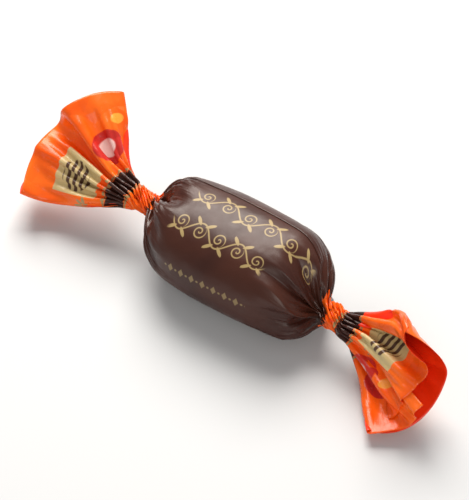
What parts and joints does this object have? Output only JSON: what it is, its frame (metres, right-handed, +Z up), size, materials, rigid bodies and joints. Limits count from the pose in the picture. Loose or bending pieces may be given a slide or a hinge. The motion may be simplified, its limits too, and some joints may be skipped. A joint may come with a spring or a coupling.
{
  "type": "wrapped caramel candy",
  "caption": "Caramel rolled in printed film, lying on its side: a rounded barrel with a pleated, twisted neck and an open, flattened trumpet of film at each end.",
  "frame": {"origin": "middle of the small flat spot on the underside that the candy rests on", "axes": "+X along the sweet, towards the end whose trumpet reaches the floor; +Z up; +Y across, with the sheet's outer edge on the +Y side"},
  "size_m": [0.0893, 0.0297, 0.0196],
  "materials": {
    "printed_film": "dark brown printed film with a soft gloss, orange in its twisted ends"
  },
  "bodies": {
    "root": {"wrapped_caramel": "printed_film"}
  },
  "joints": []
}
